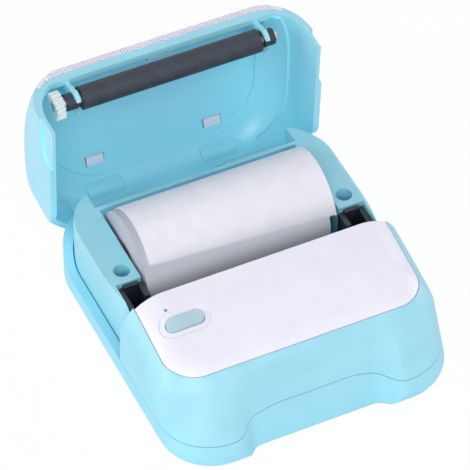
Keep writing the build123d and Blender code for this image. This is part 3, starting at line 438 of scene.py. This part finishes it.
# Silicone of the feet: dull dark grey with a dry skin
silicone_feet = moulded_plastic(
    "silicone_feet", "1B1C1F", "27282C", roughness=0.7, grain_mm=0.12, grain_depth_mm=0.012,
    edge_mm=0.2, coat=0.0
)
# Shrink film round the battery pack: grey blue, softly glossy, slightly wrinkled
shrink_film = moulded_plastic(
    "shrink_film", "6C7684", "7D8896", roughness=0.3, grain_mm=0.6, grain_depth_mm=0.02,
    edge_mm=0.2, coat=0.3
)
# Glass glaze over the ceramic of the print head: dark brown and smooth
glazed_ceramic = moulded_plastic(
    "glazed_ceramic", "3A3431", "4C4540", roughness=0.16, grain_mm=0.4, grain_depth_mm=0.001,
    edge_mm=0.08, coat=0.5
)
# Zinc plate on pressed steel: grey, a little cloudy
zinc_plate = worked_metal("zinc_plate", "9A9EA4", "C4C7CC", roughness=0.34, along="Y")
# Steel of the shafts, ground between centres: bright, with lines along the bar
ground_steel = worked_metal("ground_steel", "A5A8AD", "CFD2D6", roughness=0.24, along="X")
# Extruded aluminium of the heat sink: pale grey, drawn along its length
extruded_aluminium = worked_metal("extruded_aluminium", "A8ABB0", "C8CBCF", roughness=0.38, along="X")
# Wound card of the roll's core: buff, rough
core_card = pressed_fibre("core_card", "97836A", "A8937A", roughness=0.8, fibre_mm=0.25, cockle_mm=0.1)
# Thermal paper seen on its grey back, on the roll, painted near white in its hollows as painted light
grey_paper = pressed_fibre(
    "grey_paper", "ADB0BC", "B4B7C3", roughness=0.62, fibre_mm=0.16, cockle_mm=0.1, painted_hollow_light="F0F2FC"
)
# Thermal paper's coated white side, on the free end: smooth, with a slow cockle from the roll
white_paper = pressed_fibre(
    "white_paper", "E5E3EE", "EAE8F2", roughness=0.6, fibre_mm=0.16, cockle_mm=0.4
)
# Silicone rubber of the platen, ground round: dark, matt, dusty
platen_silicone = ground_silicone()
# Solder mask of the two circuit boards: green over square copper tracks
board_mask = solder_mask()
# Clear polycarbonate of the lamp's light pipe: faintly milky
lamp_pipe = clear_light_pipe()
# Flat ends of the paper roll: grey rings of its turns
roll_low, roll_high = (Vector(corner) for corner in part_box("paper_roll"))
roll_middle = (roll_low + roll_high) / 2
paper_edges = wound_edges(roll_middle)

FINISHES = {
    housing_abs: ("lower_shell", "upper_shell"),
    cover_abs: ("cover_frame",),
    white_abs: ("front_panel", "top_plate"),
    tinted_polycarbonate: ("power_button",),
    glass_filled_nylon: ("head_frame", "side_plates", "pocket_strips", "platen_bushings"),
    natural_acetal: ("motor_pinion", "idler_gear_a", "idler_gear_b", "platen_gear"),
    black_polymer: ("tact_switch", "paper_sensor"),
    silicone_feet: ("rubber_feet",),
    shrink_film: ("battery_pack",),
    glazed_ceramic: ("print_head",),
    zinc_plate: ("case_screws", "head_springs", "stepper_motor", "gear_plate", "usb_c_socket"),
    ground_steel: ("gear_axles", "hinge_pin", "platen_shaft"),
    extruded_aluminium: ("heat_sink",),
    core_card: ("paper_core",),
    grey_paper: ("paper_roll",),
    white_paper: ("paper_tail",),
    platen_silicone: ("platen_rubber",),
    board_mask: ("main_pcb", "usb_board"),
    lamp_pipe: ("light_pipe",),
}
for material, nodes in FINISHES.items():
    for node in nodes:
        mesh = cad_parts[node].data
        mesh.materials.clear()
        mesh.materials.append(material)

# The roll's flat ends show the turns of the paper; their normals lie along its axis
SKIN, ENDS = 0, 1
ALONG_AXIS = 0.9
roll_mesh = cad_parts["paper_roll"].data
roll_mesh.materials.append(paper_edges)
for face in roll_mesh.polygons:
    face.material_index = ENDS if abs(face.normal.x) > ALONG_AXIS else SKIN


def press_springs():
    """Copy of the print head's springs, its doubled points welded, hung on the housing in place of the
    imported part.
    """
    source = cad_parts["head_springs"]
    shape = bmesh.new()
    shape.from_mesh(source.data)
    weld = 0.001 * MM
    bmesh.ops.remove_doubles(shape, verts=shape.verts, dist=weld)
    mesh = bpy.data.meshes.new("press_springs")
    shape.to_mesh(mesh)
    shape.free()
    mesh.materials.append(zinc_plate)
    made = add_object("press_springs", mesh)
    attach(made, "housing")
    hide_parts("head_springs")
    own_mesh(made)


press_springs()


def turns_tree():
    """Geometry nodes that lay the edges of the wound paper as rings of uneven spacing round X."""
    core_low, core_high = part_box("paper_core")
    core_radius = (core_high[2] - core_low[2]) / 2
    roll_radius = (roll_high.z - roll_low.z) / 2
    margin = 0.3 * MM
    shift = 0.008
    tree = bpy.data.node_groups.new("paper_turns", "GeometryNodeTree")
    for label, kind, value in (
        ("Turns", "NodeSocketInt", 26),
        ("Inner radius", "NodeSocketFloat", core_radius + margin),
        ("Outer radius", "NodeSocketFloat", roll_radius - margin),
        ("Edge radius", "NodeSocketFloat", 0.05 * MM),
        ("Seed", "NodeSocketInt", 7),
        ("Material", "NodeSocketMaterial", paper_edges),
    ):
        tree.interface.new_socket(label, in_out="INPUT", socket_type=kind).default_value = value
    tree.interface.new_socket("Geometry", in_out="OUTPUT", socket_type="NodeSocketGeometry")
    given = add_node(tree, "NodeGroupInput").outputs
    line = add_node(tree, "GeometryNodeMeshLine", {"Count": given["Turns"], "Offset": (0, 0, 0)})
    ring = add_node(tree, "GeometryNodeCurvePrimitiveCircle", {"Resolution": 96, "Radius": 1.0})
    last = add_node(tree, "ShaderNodeMath", {0: given["Turns"], 1: 1.0}, operation="SUBTRACT")
    index = add_node(tree, "GeometryNodeInputIndex")
    share = add_node(tree, "ShaderNodeMath", {0: index, 1: last}, operation="DIVIDE")
    jitter = add_node(
        tree, "FunctionNodeRandomValue", {LEAST: -shift, MOST: shift, "Seed": given["Seed"]}
    )
    shaken = add_node(
        tree, "ShaderNodeMath", {0: share, 1: jitter.outputs[DRAWN]}, operation="ADD", use_clamp=True
    )
    radius = add_node(
        tree,
        "ShaderNodeMapRange",
        {"Value": shaken, "To Min": given["Inner radius"], "To Max": given["Outer radius"]},
    )
    size = add_node(tree, "ShaderNodeCombineXYZ", {0: radius, 1: radius, 2: radius})
    rings = add_node(
        tree, "GeometryNodeInstanceOnPoints", {"Points": line, "Instance": ring, "Scale": size}
    )
    real = add_node(tree, "GeometryNodeRealizeInstances", {"Geometry": rings})
    section = add_node(
        tree, "GeometryNodeCurvePrimitiveCircle", {"Resolution": 4, "Radius": given["Edge radius"]}
    )
    tube = add_node(tree, "GeometryNodeCurveToMesh", {"Curve": real, "Profile Curve": section})
    turned = add_node(
        tree, "GeometryNodeTransform", {"Geometry": tube, "Rotation": (0, math.pi / 2, 0)}
    )
    painted = add_node(
        tree, "GeometryNodeSetMaterial", {"Geometry": turned, "Material": given["Material"]}
    )
    add_node(tree, "NodeGroupOutput", {"Geometry": painted})
    return tree


def turns_of_paper():
    """Paper edges a hair proud of both flat ends of the roll."""
    tree = turns_tree()
    identifiers = {item.name: item.identifier for item in tree.interface.items_tree}
    for name, x, seed in (("paper_turns_left", roll_low.x, 7), ("paper_turns_right", roll_high.x, 12)):
        holder = add_object("turns_holder", bpy.data.meshes.new("turns_holder"))
        modifier = holder.modifiers.new("turns", "NODES")
        modifier.node_group = tree
        modifier[identifiers["Seed"]] = seed
        shown = holder.evaluated_get(bpy.context.evaluated_depsgraph_get())
        mesh = bpy.data.meshes.new_from_object(shown)
        bpy.data.objects.remove(holder)
        mesh.transform(Matrix.Translation((x, roll_middle.y, roll_middle.z)))
        made = add_object(name, mesh)
        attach(made, "roll")


turns_of_paper()


def photo_camera():
    """Camera with the photograph's place, direction, roll and lens, from a fit to the photograph."""
    azimuth, elevation, roll = (math.radians(angle) for angle in (-26.09, 46.93, 0.79))
    back = Vector(
        (
            math.sin(azimuth) * math.cos(elevation),
            -math.cos(azimuth) * math.cos(elevation),
            math.sin(elevation),
        )
    )
    level = Vector((math.cos(azimuth), math.sin(azimuth), 0))
    upright = back.cross(level)
    right = level * math.cos(roll) + upright * math.sin(roll)
    up = upright * math.cos(roll) - level * math.sin(roll)
    data = bpy.data.cameras.new("photo_camera")
    data.lens = 274.35
    data.sensor_width = 36
    data.clip_start = 0.05
    data.clip_end = 20
    made = add_object("photo_camera", data)
    place = Vector((-304.93, -624.13, 767.17)) * MM
    made.matrix_world = Matrix.Translation(place) @ Matrix((right, up, back)).transposed().to_4x4()
    bpy.context.scene.camera = made


photo_camera()


MIDDLE_MM = (0, 10, 20)
WHITE = (1, 1, 1)
COOL_WHITE = (0.97, 0.99, 1)


def softbox(name, place_mm, size_m, watts, tint):
    """Soft rectangular lamp aimed at the printer's middle."""
    data = bpy.data.lights.new(name, "AREA")
    data.shape = "RECTANGLE"
    data.size, data.size_y = size_m
    data.energy = watts
    data.color = tint
    made = add_object(name, data)
    made.location = Vector(place_mm) * MM
    aim = Vector(MIDDLE_MM) * MM - made.location
    made.rotation_euler = aim.to_track_quat("-Z", "Y").to_euler()


softbox("key_above", (220, -120, 900), (0.7, 0.7), 0.3, WHITE)
softbox("fill_camera", (-330, -680, 820), (0.7, 0.6), 4.4, WHITE)
softbox("fill_low", (-300, -900, 460), (0.9, 0.5), 2.5, WHITE)
softbox("rim_left", (-850, 150, 350), (0.6, 0.6), 3.2, COOL_WHITE)
softbox("rim_right", (850, 60, 350), (0.6, 0.6), 2.6, COOL_WHITE)


def white_room():
    """Even light from all round.

    It is white where the camera, a gloss or clear plastic looks past the printer."""
    world = bpy.data.worlds.new("white_room")
    bpy.context.scene.world = world
    world.use_nodes = True
    tree = world.node_tree
    tree.nodes.clear()
    path = add_node(tree, "ShaderNodeLightPath").outputs
    seen = add_node(
        tree,
        "ShaderNodeMath",
        {0: path["Is Camera Ray"], 1: path["Is Glossy Ray"]},
        operation="MAXIMUM",
    )
    shown = add_node(
        tree, "ShaderNodeMath", {0: seen, 1: path["Is Transmission Ray"]}, operation="MAXIMUM"
    )
    fill_strength = 0.38
    light = add_node(
        tree, "ShaderNodeBackground", {"Color": (0.97, 0.98, 1.0, 1), "Strength": fill_strength}
    )
    white = add_node(tree, "ShaderNodeBackground", {"Color": (1, 1, 1, 1), "Strength": 1.0})
    mix = add_node(tree, "ShaderNodeMixShader", {0: shown, 1: light, 2: white})
    add_node(tree, "ShaderNodeOutputWorld", {"Surface": mix})


white_room()


def pale_floor():
    """White table under the printer, seen almost as bright as the background, with a faint shadow."""
    half_width = 1.6
    under_feet = 0.02 * MM
    glow = 0.96
    shape = bmesh.new()
    bmesh.ops.create_grid(shape, x_segments=8, y_segments=8, size=half_width)
    mesh = bpy.data.meshes.new("pale_floor")
    shape.to_mesh(mesh)
    shape.free()
    made = add_object("pale_floor", mesh)
    mesh.transform(Matrix.Translation((0, 0, -under_feet)))
    material, tree = start_material("white_table")
    where = add_node(tree, "ShaderNodeTexCoord").outputs["Object"]
    cloud = add_node(tree, "ShaderNodeTexNoise", {"Vector": where, "Scale": 1 / (60 * MM)})
    colour = add_node(
        tree,
        "ShaderNodeMix",
        {FACTOR: cloud, COLOUR_A: srgb("F1F3F5"), COLOUR_B: srgb("F6F7F9")},
        data_type="RGBA",
    ).outputs[MIXED]
    matt = add_node(tree, "ShaderNodeBsdfPrincipled", {"Base Color": colour, "Roughness": 0.9})
    path = add_node(tree, "ShaderNodeLightPath").outputs
    share = add_node(tree, "ShaderNodeMath", {0: path["Is Camera Ray"], 1: glow}, operation="MULTIPLY")
    white = add_node(tree, "ShaderNodeEmission", {"Color": (1, 1, 1, 1), "Strength": 1.0})
    mix = add_node(tree, "ShaderNodeMixShader", {0: share, 1: matt, 2: white})
    add_node(tree, "ShaderNodeOutputMaterial", {"Surface": mix})
    mesh.materials.append(material)


pale_floor()

bpy.context.scene.view_settings.view_transform = "Standard"
